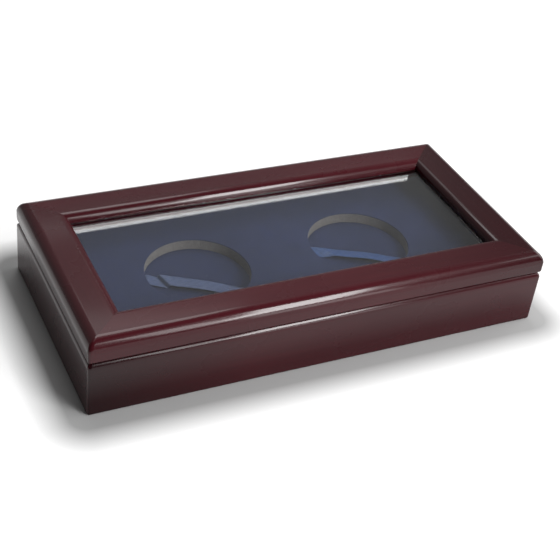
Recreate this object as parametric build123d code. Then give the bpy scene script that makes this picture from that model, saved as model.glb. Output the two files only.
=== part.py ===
"""A glazed display case for two encapsulated coins: a mitred wooden tray with a hinged, glazed lid.

Frame: X runs along the long side, Y from front to back, Z up. The origin is the middle of the
footprint, on the surface that the case stands on. All sizes are millimetres.
"""
from build123d import *
import math
import os

# ---- overall -------------------------------------------------------------------------------
case_length = 204.0
case_width = 100.0
corner_round = 1.2          # vertical corners of tray and lid
parting_gap = 0.35          # between the closed lid and the tray

# ---- tray walls ----------------------------------------------------------------------------
wall_height = 24.9
wall_thickness = 8.0
tray_top_round = 2.5
tray_bottom_ease = 0.6
wall_inner_ease = 0.4

# ---- bottom panel and felt -----------------------------------------------------------------
panel_thickness = 3.0
panel_rabbet = 3.5
panel_clearance = 0.2
felt_thickness = 0.6
felt_proud = 0.1            # the felt, let into the rabbet, stands this far below the walls

# ---- lid frame -----------------------------------------------------------------------------
lid_thickness = 9.65
lid_top_round = 5.0
lid_bottom_ease = 1.0
rail_width = 18.0           # outer face to sight edge
ovolo_radius = 3.8          # quarter round that runs down to the glass
rabbet_width = 5.5          # from the sight edge outwards

# ---- glass and its retaining beads ---------------------------------------------------------
glass_thickness = 2.0
glass_clearance = 0.4
bead_width = 2.5
bead_height = 2.5
bead_chamfer = 0.8
brad_width = 0.8            # square cut brads
brad_length = 7.0
brad_head_width = 1.3
brad_head_height = 0.3
brad_clearance = 0.02
brad_pitch = 45.0           # about this far apart, evenly spaced on each bead

# ---- layered insert ------------------------------------------------------------------------
insert_clearance = 0.3
lower_foam_thickness = 10.1
velvet_thickness = 0.4
insert_foam_thickness = 4.6
recess_diameter = 45.0
recess_pitch = 76.6

# ---- pull ribbons --------------------------------------------------------------------------
ribbon_width = 6.5
ribbon_thickness = 0.3
ribbon_angle = -28.0        # about Z, from +X
ribbon_offset = 5.2         # centre line ahead of the recess's centre
ribbon_tuck = 8.0           # run that lies under the foam
ribbon_landing = 1.0        # the ribbon lies flat from here to the recess wall
ribbon_crown = 1.9          # height of the crown beside the left wall
ribbon_dip = 0.3            # height between the crown and the low wave
ribbon_low_crown = 0.7      # height of the low wave
ribbon_wave_places = (-0.84, -0.45, 0.25)   # crown, dip and low wave, as shares of the half chord
ribbon_crown_bend = 1.5     # radius at the crown and at its foot
ribbon_bend = 45.0          # radius of the gentle waves
slot_side_clearance = 0.3
slot_top_clearance = 0.2

# ---- butt hinges ---------------------------------------------------------------------------
lid_open_angle = 95.0
hinge_from_end = 42.0       # the case's end to the hinge's middle
hinge_length = 24.0
hinge_axis_inset = 2.7      # axis inside the back face
knuckle_count = 5
knuckle_radius = 1.6
knuckle_gap = 0.2
leaf_thickness = 0.8
leaf_width = 4.4            # hinge axis to the leaf's free edge
pin_radius = 0.75
pin_clearance = 0.05
pin_head_radius = 1.15
pin_head_height = 0.5
pin_head_bevel = 0.3
mortise_clearance = 0.2
stop_clearance = 0.05       # each chamfer stands this far off the plane where they meet

# ---- hinge screws --------------------------------------------------------------------------
screws_per_leaf = 2
screw_pitch = 13.0
screw_length = 6.0
screw_radius = 0.6
screw_head_radius = 1.1
screw_head_height = 0.6
screw_tip_length = 1.2
screw_clearance = 0.03

# ---- closing magnets -----------------------------------------------------------------------
magnet_from_end = 27.0      # the case's end to the magnet's middle
magnet_radius = 1.5
magnet_thickness = 2.0
magnet_recess = 0.1
magnet_clearance = 0.05
magnet_from_face = 5.0      # magnet centre behind the front face

# ---- heights and places worked out from the sizes above ------------------------------------
half_length = case_length / 2
half_width = case_width / 2
tray_bottom = felt_proud
tray_top = tray_bottom + wall_height
lid_bottom = tray_top + parting_gap
lid_top = lid_bottom + lid_thickness
panel_inset = wall_thickness - panel_rabbet + panel_clearance
panel_top = felt_thickness + panel_thickness
lower_foam_top = panel_top + lower_foam_thickness
floor_top = lower_foam_top + velvet_thickness
insert_foam_top = floor_top + insert_foam_thickness
insert_top = insert_foam_top + velvet_thickness
glass_top = lid_top - ovolo_radius
glass_bottom = glass_top - glass_thickness
bead_bottom = glass_bottom - bead_height
rabbet_inset = rail_width - rabbet_width     # outer face to the rabbet's wall
bead_inset = rabbet_inset + bead_width       # outer face to the bead's inner face
hinge_axis_y = half_width - hinge_axis_inset
hinge_axis_z = tray_top + parting_gap / 2
screw_line_y = hinge_axis_y - (knuckle_radius + leaf_width) / 2
magnet_y = -half_width + magnet_from_face
magnet_x = half_length - magnet_from_end
hinge_x = half_length - hinge_from_end
hinge_sides = {"left": -hinge_x, "right": hinge_x}
recess_sides = {"left": -recess_pitch / 2, "right": recess_pitch / 2}

parting_plane = Plane.XY.offset(hinge_axis_z)
BOTTOM = (Align.CENTER, Align.CENTER, Align.MIN)
TOP = (Align.CENTER, Align.CENTER, Align.MAX)
LEVEL_TOLERANCE = 1e-4      # edges this near a height lie at it


# ---- helpers -------------------------------------------------------------------------------
def slab(inset, low, high):
    """A plain block concentric with the case, its sides this far inside the outer faces."""
    return Pos(0, 0, low) * Box(case_length - 2 * inset, case_width - 2 * inset, high - low, align=BOTTOM)


def edges_at(solid, height):
    """The edges that lie flat at one height."""
    return solid.edges().filter_by(
        lambda e: max(abs(v.Z - height) for v in e.vertices()) < LEVEL_TOLERANCE)


def inner_edges_at(solid, height, inset):
    """Those of them whose middle lies more than the inset inside the case's outer faces."""
    return edges_at(solid, height).filter_by(
        lambda e: abs(e.center().X) < half_length - inset and abs(e.center().Y) < half_width - inset)


def rounded_block(low, high, top_round, bottom_ease):
    """The outer block of tray or lid: rounded corners, rounded top edge, eased bottom edge."""
    block = slab(0, low, high)
    block = fillet(block.edges().filter_by(Axis.Z), corner_round)
    block = fillet(edges_at(block, high), top_round)
    return fillet(edges_at(block, low), bottom_ease)


def mitre_sector(side):
    """The tall prism between two mitre planes that holds one side of a rectangular frame."""
    over = half_width
    x, y, tip = half_length + over, half_width + over, half_length - half_width
    front = Polyline((-x, -y), (x, -y), (tip, 0), (-tip, 0), close=True)
    left = Polyline((-x, -y), (-tip, 0), (-x, y), close=True)
    outline = {"front": front, "back": front.mirror(Plane.XZ), "left": left, "right": left.mirror(Plane.YZ)}
    return extrude(make_face(outline[side]), lid_top + over, dir=(0, 0, 1))


def cut_at_mitres(ring):
    """The four mitred pieces of a rectangular ring, by side."""
    return {side: ring & mitre_sector(side) for side in ("front", "back", "left", "right")}


def along_x(profile_yz, length):
    """A prism of a profile drawn in Y and Z, centred on X = 0."""
    return extrude(Plane.YZ * profile_yz, length / 2, both=True)


def spread(count, pitch):
    """Evenly pitched places about zero."""
    return [(i - (count - 1) / 2) * pitch for i in range(count)]


def spaced_along(run, pitch):
    """Even places about zero along a run, as near to the pitch as a whole number of them allows."""
    count = max(1, round(run / pitch))
    return spread(count, run / count)


# ---- hinges --------------------------------------------------------------------------------
def knuckle_spans():
    """Start and end of each knuckle along the hinge, from the hinge's middle."""
    length = (hinge_length - knuckle_gap * (knuckle_count - 1)) / knuckle_count
    starts = [-hinge_length / 2 + i * (length + knuckle_gap) for i in range(knuckle_count)]
    return [(start, start + length) for start in starts]


def on_hinge_axis(x_low, x_high, radius):
    """A cylinder along the hinge axis."""
    middle = Pos((x_low + x_high) / 2, hinge_axis_y, hinge_axis_z)
    return middle * Rot(0, 90, 0) * Cylinder(radius, x_high - x_low)


def hinge_leaf(first_knuckle):
    """A leaf below the axis, with every second knuckle from the first one named."""
    leaf_top = tray_top
    plate_y = hinge_axis_y - leaf_width / 2
    leaf = Pos(0, plate_y, leaf_top) * Box(hinge_length, leaf_width, leaf_thickness, align=TOP)
    for i, (low, high) in enumerate(knuckle_spans()):
        own = i % 2 == first_knuckle
        if own:
            leaf += on_hinge_axis(low, high, knuckle_radius)
        else:
            leaf -= on_hinge_axis(low - knuckle_gap, high + knuckle_gap, knuckle_radius + mortise_clearance)
    leaf -= on_hinge_axis(-hinge_length, hinge_length, pin_radius + pin_clearance)
    for x in spread(screws_per_leaf, screw_pitch):
        leaf -= Pos(x, screw_line_y, leaf_top) * screw_blank(screw_clearance)
    return leaf


def hinge_pin():
    """The pin with its two bevelled heads."""
    half = hinge_length / 2
    head = Pos(0, 0, half) * Cylinder(pin_head_radius, pin_head_height, align=BOTTOM)
    head = chamfer(edges_at(head, half + pin_head_height), pin_head_bevel)
    pin = Cylinder(pin_radius, hinge_length) + head + head.mirror(Plane.XY)
    return Pos(0, hinge_axis_y, hinge_axis_z) * Rot(0, 90, 0) * pin


def screw_blank(clearance=0.0):
    """A countersunk screw pointing down from z = 0, or the hole that takes it."""
    r, head = screw_radius + clearance, screw_head_radius + clearance
    tip = screw_length - screw_tip_length
    end = screw_length + clearance
    outline = Polyline((0, 0), (head, 0), (r, -screw_head_height), (r, -tip), (0, -end), close=True)
    return revolve(make_face(Plane.XZ * outline), Axis.Z)


def hinge_screws():
    """The screws of both hinges' lower leaves, heads flush with the leaves."""
    return [Pos(middle + x, screw_line_y, tray_top) * screw_blank()
            for middle in hinge_sides.values() for x in spread(screws_per_leaf, screw_pitch)]


def hinge_mortises():
    """What the lower hinge leaves and their barrels need cut out of the wood below the axis."""
    room = hinge_length + 2 * mortise_clearance
    depth = leaf_thickness + parting_gap
    leaf_room = Pos(0, hinge_axis_y - leaf_width / 2, tray_top + parting_gap) * Box(
        room, leaf_width + 2 * mortise_clearance, depth, align=TOP)
    end = hinge_length / 2 + pin_head_height + mortise_clearance
    barrel_room = on_hinge_axis(-end, end, knuckle_radius + mortise_clearance)
    cutter = leaf_room + barrel_room
    for x in spread(screws_per_leaf, screw_pitch):
        cutter += Pos(x, screw_line_y, tray_top) * screw_blank(screw_clearance)
    return [Pos(middle, 0, 0) * cutter for middle in hinge_sides.values()]


def back_chamfer():
    """The wedge that bevels the tray's back edge, so that lid and tray meet on it when open."""
    slope = math.radians(lid_open_angle / 2)
    start_z = hinge_axis_z - stop_clearance / math.cos(slope)
    reach = 2 * hinge_axis_inset
    wedge = Polyline((hinge_axis_y - reach, start_z + reach * math.tan(slope)),
                     (hinge_axis_y + reach, start_z - reach * math.tan(slope)),
                     (hinge_axis_y + reach, start_z + reach * math.tan(slope)), close=True)
    return along_x(make_face(wedge), case_length + 2 * reach)


# ---- magnets -------------------------------------------------------------------------------
def tray_magnets():
    """The two discs set just below the top of the tray's front wall."""
    disc = Cylinder(magnet_radius, magnet_thickness, align=TOP)
    return [Pos(x, magnet_y, tray_top - magnet_recess) * disc for x in (-magnet_x, magnet_x)]


def magnet_bores():
    """The bores that take those discs."""
    bore = Cylinder(magnet_radius + magnet_clearance, magnet_thickness + magnet_recess, align=TOP)
    return [Pos(x, magnet_y, tray_top) * bore for x in (-magnet_x, magnet_x)]


# ---- tray ----------------------------------------------------------------------------------
def tray_walls():
    """The four mitred walls, with the bottom rabbet, hinge mortises and magnet bores."""
    ring = rounded_block(tray_bottom, tray_top, tray_top_round, tray_bottom_ease)
    opening = slab(wall_thickness, tray_bottom, tray_top)
    ring -= opening
    ring = chamfer(inner_edges_at(ring, tray_top, wall_thickness / 2), wall_inner_ease)
    ring -= slab(wall_thickness - panel_rabbet, tray_bottom, panel_top)
    ring -= back_chamfer()
    for cutter in hinge_mortises() + magnet_bores():
        ring -= cutter
    return cut_at_mitres(ring)


def bottom_panel():
    """The thin panel in the rabbet below the walls."""
    return slab(panel_inset, felt_thickness, panel_top)


def underside_felt():
    """The felt sheet under the panel, let into the same rabbet, that the case stands on."""
    sheet = slab(panel_inset, 0, felt_thickness)
    return fillet(sheet.edges().filter_by(Axis.Z), corner_round)


# ---- insert --------------------------------------------------------------------------------
def recess_holes(low, high):
    """The two round holes through a layer of the insert."""
    hole = Cylinder(recess_diameter / 2, high - low, align=BOTTOM)
    return [Pos(x, 0, low) * hole for x in recess_sides.values()]


def insert_layer(low, high, pierced):
    """One layer of the insert, cut to fit inside the walls."""
    layer = slab(wall_thickness + insert_clearance, low, high)
    if pierced:
        for hole in recess_holes(low, high):
            layer -= hole
    return layer


def ribbon_plane(side):
    """Upright plane along a ribbon's centre line: local X along the ribbon, local Y up."""
    angle = math.radians(ribbon_angle)
    along = Vector(math.cos(angle), math.sin(angle), 0)
    ahead = Vector(math.sin(angle), -math.cos(angle), 0)
    origin = Vector(recess_sides[side], 0, floor_top) + ahead * ribbon_offset
    return Plane(origin=origin, x_dir=along, z_dir=ahead)


def ribbon_reach():
    """Half of the chord that a ribbon's outer edge leaves in its recess."""
    outer_edge = ribbon_offset + ribbon_width / 2
    return math.sqrt((recess_diameter / 2) ** 2 - outer_edge ** 2)


def ribbon_slot(side):
    """The shallow slot in the foam's underside that a ribbon's tucked ends lie in."""
    reach = ribbon_reach() + ribbon_tuck + slot_side_clearance
    height = ribbon_thickness + slot_top_clearance
    profile = Pos(0, height / 2) * Rectangle(2 * reach, height)
    return extrude(ribbon_plane(side) * profile, ribbon_width / 2 + slot_side_clearance, both=True)


def ribbon_middle():
    """The middle of the ribbon's thickness, seen from the side, from its left end to its right end."""
    half = ribbon_reach()
    crown, dip, low_crown = (half * share for share in ribbon_wave_places)
    above_floor = [(-half - ribbon_tuck, 0), (-half + ribbon_landing, 0), (crown, ribbon_crown),
                   (dip, ribbon_dip), (low_crown, ribbon_low_crown),
                   (half - ribbon_landing, 0), (half + ribbon_tuck, 0)]
    return [(x, z + ribbon_thickness / 2) for x, z in above_floor]


def ribbon(side):
    """A satin ribbon across its recess: a crown beside the left wall, then one low wave."""
    radii = [ribbon_crown_bend, ribbon_crown_bend, ribbon_bend, ribbon_bend, ribbon_bend]
    with BuildSketch(ribbon_plane(side)) as profile:
        with BuildLine():
            FilletPolyline(*ribbon_middle(), radius=radii)
        trace(line_width=ribbon_thickness)
    return extrude(profile.sketch, ribbon_width / 2, both=True)


def insert_foam():
    """The pierced foam layer, slotted underneath for the ribbons' tucked ends."""
    foam = insert_layer(floor_top, insert_foam_top, pierced=True)
    for side in recess_sides:
        foam -= ribbon_slot(side)
    return foam


# ---- lid -----------------------------------------------------------------------------------
def lid_rails():
    """The four mitred rails of the lid, moulded inside, rabbeted below for the glass."""
    ring = rounded_block(lid_bottom, lid_top, lid_top_round, lid_bottom_ease)
    ring -= slab(rail_width, lid_bottom, lid_top)
    ring -= slab(rabbet_inset, lid_bottom, glass_top)
    for cutter in [back_chamfer()] + hinge_mortises() + magnet_bores():
        ring -= cutter.mirror(parting_plane)
    for hole in brad_holes():
        ring -= hole
    return {side: rail - moulding_waste(side) for side, rail in cut_at_mitres(ring).items()}


def moulding_waste(side):
    """What the moulding cutter takes off one rail above its quarter round."""
    turn = {"front": 0, "right": 90, "back": 180, "left": 270}[side]
    reach = half_width if side in ("front", "back") else half_length
    beyond = 2 * ovolo_radius
    square = Pos(beyond / 2, beyond / 2) * Rectangle(beyond, beyond)
    crest = Pos(rail_width - ovolo_radius - reach, glass_top)
    return Rot(0, 0, turn) * along_x(crest * (square - Circle(ovolo_radius)), case_length)


def glass_pane():
    """The pane, loose in its rabbet by the glazing clearance."""
    return slab(rabbet_inset + glass_clearance, glass_bottom, glass_top)


def glazing_beads():
    """The four mitred strips that hold the pane up from below."""
    ring = slab(rabbet_inset, bead_bottom, glass_bottom) - slab(bead_inset, bead_bottom, glass_bottom)
    ring = chamfer(inner_edges_at(ring, bead_bottom, rabbet_inset + bead_width / 2), bead_chamfer)
    for hole in brad_holes():
        ring -= hole
    return cut_at_mitres(ring)


def brad_places():
    """Where each brad enters its bead, with local Z pointing outwards along the brad."""
    height = (bead_bottom + bead_chamfer + glass_bottom) / 2
    places = []
    for side in (-1, 1):
        face_y, face_x = side * (half_width - bead_inset), side * (half_length - bead_inset)
        places += [Pos(x, face_y, height) * Rot(-90 * side, 0, 0)
                   for x in spaced_along(case_length - 2 * rabbet_inset, brad_pitch)]
        places += [Pos(face_x, y, height) * Rot(0, 90 * side, 0)
                   for y in spaced_along(case_width - 2 * rabbet_inset, brad_pitch)]
    return places


def brads():
    """The fine brads that pin the beads to the rails."""
    shank = Box(brad_width, brad_width, brad_length, align=BOTTOM)
    head = Box(brad_head_width, brad_head_width, brad_head_height, align=TOP)
    return [place * (shank + head) for place in brad_places()]


def brad_holes():
    """The holes that the brads' shanks fill."""
    width = brad_width + 2 * brad_clearance
    hole = Box(width, width, brad_length + brad_clearance, align=BOTTOM)
    return [place * hole for place in brad_places()]


# ---- the nodes -----------------------------------------------------------------------------
def all_nodes():
    """Every piece of the case by node name; identical small pieces share a node."""
    nodes = {
        "tray_bottom_panel": bottom_panel(),
        "underside_felt": underside_felt(),
        "lower_foam": insert_layer(panel_top, lower_foam_top, pierced=False),
        "recess_floor_velvet": insert_layer(lower_foam_top, floor_top, pierced=False),
        "insert_foam": insert_foam(),
        "insert_velvet": insert_layer(insert_foam_top, insert_top, pierced=True),
        "ribbon_left": ribbon("left"),
        "ribbon_right": ribbon("right"),
        "tray_magnets": tray_magnets(),
        "lid_magnets": [disc.mirror(parting_plane) for disc in tray_magnets()],
        "tray_hinge_screws": hinge_screws(),
        "lid_hinge_screws": [screw.mirror(parting_plane) for screw in hinge_screws()],
        "glass_pane": glass_pane(),
        "glazing_brads": brads(),
    }
    nodes |= {f"tray_{side}_wall": wall for side, wall in tray_walls().items()}
    nodes |= {f"lid_{side}_rail": rail for side, rail in lid_rails().items()}
    nodes |= {f"glazing_bead_{side}": bead for side, bead in glazing_beads().items()}
    for side, x in hinge_sides.items():
        nodes[f"hinge_{side}_tray_leaf"] = Pos(x, 0, 0) * hinge_leaf(first_knuckle=0)
        nodes[f"hinge_{side}_lid_leaf"] = Pos(x, 0, 0) * hinge_leaf(first_knuckle=1).mirror(parting_plane)
        nodes[f"hinge_{side}_pin"] = Pos(x, 0, 0) * hinge_pin()
    return nodes


def main():
    """Writes one STEP file per node."""
    os.makedirs("parts", exist_ok=True)
    for name, shape in all_nodes().items():
        pieces = shape if isinstance(shape, list) else [shape]
        solids = [solid for piece in pieces for solid in piece.solids()]
        whole = solids[0] if len(solids) == 1 else Compound(children=solids)
        export_step(whole, f"parts/{name}.step")


main()
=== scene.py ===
"""Looks of the coin display case: lacquered mitred wood, glass, a velvet insert, brass hinges.

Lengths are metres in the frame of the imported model: X along the case, Y to its hinged back, Z up.
"""

import logging
import math
from dataclasses import dataclass, field, replace
from enum import Enum
from typing import Any, Iterable, Sequence

import bmesh
import bpy
from mathutils import Matrix, Vector, noise

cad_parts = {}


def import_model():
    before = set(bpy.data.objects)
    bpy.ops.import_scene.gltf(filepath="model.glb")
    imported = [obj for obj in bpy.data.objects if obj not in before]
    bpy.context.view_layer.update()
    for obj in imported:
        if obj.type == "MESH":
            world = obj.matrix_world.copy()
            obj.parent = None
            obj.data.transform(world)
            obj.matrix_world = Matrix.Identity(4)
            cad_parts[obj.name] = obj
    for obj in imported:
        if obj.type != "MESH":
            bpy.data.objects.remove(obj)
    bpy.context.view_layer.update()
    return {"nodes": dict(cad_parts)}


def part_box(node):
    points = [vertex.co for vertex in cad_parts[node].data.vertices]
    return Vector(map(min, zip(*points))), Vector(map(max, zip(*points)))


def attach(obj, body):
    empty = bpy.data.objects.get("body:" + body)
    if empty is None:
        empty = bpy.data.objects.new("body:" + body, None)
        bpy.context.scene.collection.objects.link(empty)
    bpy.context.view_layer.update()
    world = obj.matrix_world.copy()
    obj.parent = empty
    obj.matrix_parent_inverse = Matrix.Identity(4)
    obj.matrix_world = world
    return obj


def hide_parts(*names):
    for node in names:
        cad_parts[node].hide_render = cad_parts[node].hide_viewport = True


LOG = logging.getLogger("coin_case")
MM = 0.001
RECESS_RADIUS = 22.5 * MM
RIBBON_MAP = "ribbon_map"
Colour = tuple[float, float, float]
Range = tuple[float, float]
Object = bpy.types.Object
Material = bpy.types.Material
Body = bmesh.types.BMesh
Node = bpy.types.Node
Socket = bpy.types.NodeSocket
Number = float | Socket


# ---- node trees ------------------------------------------------------------------------------
class Graph:
    """Adds nodes to one tree, with their settings, values and links given in one call."""

    def __init__(self, tree: bpy.types.NodeTree) -> None:
        """Keeps the material, world, shader group or geometry tree to build in."""
        self.tree = tree

    def feed(self, node: Node, inputs: dict[Any, Any]) -> Node:
        """Sets or links a node's inputs.

        Args:
            node: the node.
            inputs: socket name or index to a value, or to the output socket that feeds it.

        Returns:
            The same node.
        """
        for key, value in inputs.items():
            if isinstance(value, Socket):
                self.tree.links.new(value, node.inputs[key])
            else:
                node.inputs[key].default_value = value
        return node

    def add(self, kind: str, inputs: dict[Any, Any] | None = None, **settings: Any) -> Node:
        """Adds a node.

        Args:
            kind: the node's type name.
            inputs: its inputs, as feed takes them.
            settings: attributes of the node itself.

        Returns:
            The new node.
        """
        node = self.tree.nodes.new(kind)
        for name, value in settings.items():
            setattr(node, name, value)
        return self.feed(node, inputs or {})

    def math(self, operation: str, *values: Number) -> Socket:
        """A Math node's output, for one to three values."""
        return self.add("ShaderNodeMath", dict(enumerate(values)), operation=operation).outputs[0]

    def split(self, vector: Socket) -> tuple[Socket, ...]:
        """A vector's X, Y and Z."""
        return tuple(self.add("ShaderNodeSeparateXYZ", {0: vector}).outputs)

    def combine(self, x: Number = 0.0, y: Number = 0.0, z: Number = 0.0) -> Socket:
        """A vector from its X, Y and Z."""
        return self.add("ShaderNodeCombineXYZ", {0: x, 1: y, 2: z}).outputs[0]

    def drawn_out(self, vector: Socket, stretch: Number) -> Socket:
        """The vector with its X divided, which draws a pattern out along X."""
        x, y, z = self.split(vector)
        return self.combine(self.math("DIVIDE", x, stretch), y, z)

    def mix(self, factor: Number, a: Any, b: Any) -> Socket:
        """A colour mix from a to b by the factor."""
        return self.add("ShaderNodeMix", {0: factor, 6: a, 7: b}, data_type="RGBA").outputs[2]

    def cover(self, under: Any, over: Any, mask: Socket, share: float) -> Socket:
        """The colour under, with a share of the colour over it where the mask is white."""
        return self.mix(self.math("MULTIPLY", mask, share), under, over)

    def remap(self, value: Socket, low: Number, high: float, to_low: float = 0.0,
              to_high: float = 1.0) -> Socket:
        """A clamped linear remap of the value's range low..high."""
        inputs = {0: value, 1: low, 2: high, 3: to_low, 4: to_high}
        return self.add("ShaderNodeMapRange", inputs).outputs[0]

    def noise(self, vector: Socket, scale: Number, spread: Range, detail: float,
              distortion: float = 0.0) -> Socket:
        """A Noise Texture, with the part of its range given by spread drawn out over 0 to 1."""
        inputs = {"Vector": vector, "Scale": scale, "Detail": detail, "Distortion": distortion}
        return self.remap(self.add("ShaderNodeTexNoise", inputs).outputs[0], *spread)

    def cells(self, vector: Socket, scale: Number) -> Socket:
        """The distance to the nearest point of a Voronoi Texture."""
        return self.add("ShaderNodeTexVoronoi", {"Vector": vector, "Scale": scale}).outputs[0]

    def bump(self, height: Socket, distance: float) -> Socket:
        """The normal of a surface that a height raises by up to a distance."""
        return self.add("ShaderNodeBump", {"Height": height, "Distance": distance}).outputs[0]

    def face(self, label: str, kind: str = "Float", side: str = "INPUT") -> Any:
        """A new named input or output of the tree."""
        return self.tree.interface.new_socket(label, in_out=side, socket_type=f"NodeSocket{kind}")

    def effect(self, name: str, vector: Socket, **numbers: float) -> Any:
        """The outputs of a shared effect group that is read at the vector."""
        inputs = {"Vector": vector, **numbers}
        return self.add("ShaderNodeGroup", inputs, node_tree=EffectGroups.get(name)).outputs


def rgba(colour: Sequence[float], gain: float = 1.0) -> tuple[float, float, float, float]:
    """A colour times a gain, with full alpha."""
    return (colour[0] * gain, colour[1] * gain, colour[2] * gain, 1.0)


class EffectGroups:
    """The shader node groups that several finishes share, each built at its first use.

    Each effect has a row in SOCKETS, with its named numbers and outputs, and a method of its own.
    """

    SOCKETS: dict[str, tuple[dict[str, float], tuple[str, ...]]] = {
        "wood_grain": ({"Streaks": 420.0, "Stretch": 26.0, "Pores": 2600.0, "Figures": 48.0,
                        "Figure Stretch": 5.0}, ("Figure", "Streak", "Pore")),
        "handling": ({"Smudges": 34.0, "Specks": 1500.0}, ("Smudge", "Speck")),
        "nap": ({"Fibres": 3600.0, "Lay": 60.0}, ("Fibre", "Shade")),
        "weave": ({"Threads": 5200.0, "Floats": 900.0, "Row Shift": 2.4, "Sharpness": 12.0},
                  ("Thread", "Tie")),
        "brushing": ({"Scratches": 4200.0, "Stretch": 25.0, "Stains": 140.0},
                     ("Scratch", "Tarnish")),
        "mitre": ({"Run": 52 * MM, "Width": 0.12 * MM, "Core": 0.3}, ("Line",)),
    }
    _built: dict[str, bpy.types.NodeTree] = {}

    @classmethod
    def get(cls, name: str) -> bpy.types.NodeTree:
        """The group of one effect.

        Args:
            name: a key of SOCKETS.

        Returns:
            The shader group.
        """
        if name not in cls._built:
            numbers, outputs = cls.SOCKETS[name]
            g = Graph(bpy.data.node_groups.new(name, "ShaderNodeTree"))
            g.face("Vector", "Vector")
            for label, value in numbers.items():
                g.face(label).default_value = value
            for label in outputs:
                g.face(label, side="OUTPUT")
            made = getattr(cls, f"_{name}")(g, g.add("NodeGroupInput").outputs)
            g.add("NodeGroupOutput", made)
            cls._built[name] = g.tree
        return cls._built[name]

    @staticmethod
    def _wood_grain(g: Graph, given: Any) -> dict[str, Socket]:
        """Streaks, pores and slow figure along local X.

        Args:
            g: the group's graph.
            given: its inputs.

        Returns:
            Its outputs, by name.
        """
        long = g.drawn_out(given["Vector"], given["Stretch"])
        slow = g.drawn_out(given["Vector"], given["Figure Stretch"])
        return {"Figure": g.noise(slow, given["Figures"], (0.2, 0.8), detail=3.0, distortion=0.3),
                "Streak": g.noise(long, given["Streaks"], (0.32, 0.68), detail=4.0, distortion=0.6),
                "Pore": g.noise(long, given["Pores"], (0.66, 0.74), detail=1.0)}

    @staticmethod
    def _handling(g: Graph, given: Any) -> dict[str, Socket]:
        """Soft smudges with a few fine specks of dust.

        Args:
            g: the group's graph.
            given: its inputs.

        Returns:
            Its outputs, by name.
        """
        vector = given["Vector"]
        dots = g.remap(g.cells(vector, given["Specks"]), 0.16, 0.08)
        rare = g.noise(vector, given["Specks"], (0.66, 0.70), detail=0.0)
        smudge = g.noise(vector, given["Smudges"], (0.25, 0.8), detail=5.0, distortion=0.3)
        return {"Smudge": smudge, "Speck": g.math("MULTIPLY", dots, rare)}

    @staticmethod
    def _nap(g: Graph, given: Any) -> dict[str, Socket]:
        """Short pile or matted fibre, with the slow shading of a brushed nap.

        Args:
            g: the group's graph.
            given: its inputs.

        Returns:
            Its outputs, by name.
        """
        vector = given["Vector"]
        return {"Fibre": g.noise(vector, given["Fibres"], (0.25, 0.75), detail=3.0, distortion=0.4),
                "Shade": g.noise(vector, given["Lay"], (0.3, 0.7), detail=4.0, distortion=1.5)}

    @staticmethod
    def _weave(g: Graph, given: Any) -> dict[str, Socket]:
        """Satin floats along X that pass under a cross thread here and there.

        Args:
            g: the group's graph.
            given: its inputs.

        Returns:
            Its outputs, by name.
        """
        x, y, _ = g.split(given["Vector"])
        across = g.math("MULTIPLY", y, given["Threads"])
        row = g.math("FLOOR", g.math("DIVIDE", across, 2 * math.pi))
        shifted = g.math("MULTIPLY", row, given["Row Shift"])
        along = g.math("MULTIPLY_ADD", x, given["Floats"], shifted)
        floats = g.math("ABSOLUTE", g.math("SINE", along))
        return {"Thread": g.math("MULTIPLY_ADD", g.math("SINE", across), 0.5, 0.5),
                "Tie": g.math("POWER", floats, given["Sharpness"])}

    @staticmethod
    def _brushing(g: Graph, given: Any) -> dict[str, Socket]:
        """Fine parallel scratches along X, and slow tarnish.

        Args:
            g: the group's graph.
            given: its inputs.

        Returns:
            Its outputs, by name.
        """
        long = g.drawn_out(given["Vector"], given["Stretch"])
        stains = g.noise(given["Vector"], given["Stains"], (0.4, 0.7), detail=4.0, distortion=1.0)
        return {"Scratch": g.noise(long, given["Scratches"], (0.3, 0.7), detail=3.0),
                "Tarnish": stains}

    @staticmethod
    def _mitre(g: Graph, given: Any) -> dict[str, Socket]:
        """The thin joint lines where the sides of a rectangular frame meet.

        Args:
            g: the group's graph.
            given: its inputs.

        Returns:
            Its outputs, by name.
        """
        x, y = (g.math("ABSOLUTE", part) for part in g.split(given["Vector"])[:2])
        off = g.math("ABSOLUTE", g.math("SUBTRACT", g.math("SUBTRACT", x, y), given["Run"]))
        share = g.math("DIVIDE", off, given["Width"])
        return {"Line": g.remap(share, given["Core"], 1.0, 1.0, 0.0)}


# ---- finishes --------------------------------------------------------------------------------
def start_material(name: str) -> tuple[Material, Graph]:
    """Starts a material with an empty node tree.

    Args:
        name: the material's name.

    Returns:
        The material and the graph of its tree.
    """
    made = bpy.data.materials.new(name)
    made.use_nodes = True
    made.node_tree.nodes.clear()
    return made, Graph(made.node_tree)


class Grain(Enum):
    """Which way a wooden piece's grain runs, as the turn about Z that brings it onto local X."""

    ALONG_X = 0.0
    ALONG_Y = -math.pi / 2


@dataclass(frozen=True)
class Finish:
    """A material with one Principled shader, whose pattern follows the piece's own coordinates."""

    name: str

    def pattern(self, g: Graph) -> Socket:
        """The vector that the pattern follows."""
        return g.add("ShaderNodeTexCoord").outputs["Object"]

    def sockets(self, g: Graph, vector: Socket) -> dict[str, Any]:
        """The values and links of the Principled shader's sockets, by name."""
        raise NotImplementedError

    def surface(self, g: Graph, shader: Socket) -> Socket:
        """What the material shows: the Principled shader alone, unless a finish says otherwise."""
        return shader

    def material(self) -> Material:
        """Builds the finish.

        Returns:
            The new material.
        """
        made, g = start_material(self.name)
        shader = g.add("ShaderNodeBsdfPrincipled", self.sockets(g, self.pattern(g))).outputs[0]
        g.add("ShaderNodeOutputMaterial", {"Surface": self.surface(g, shader)})
        return made


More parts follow.
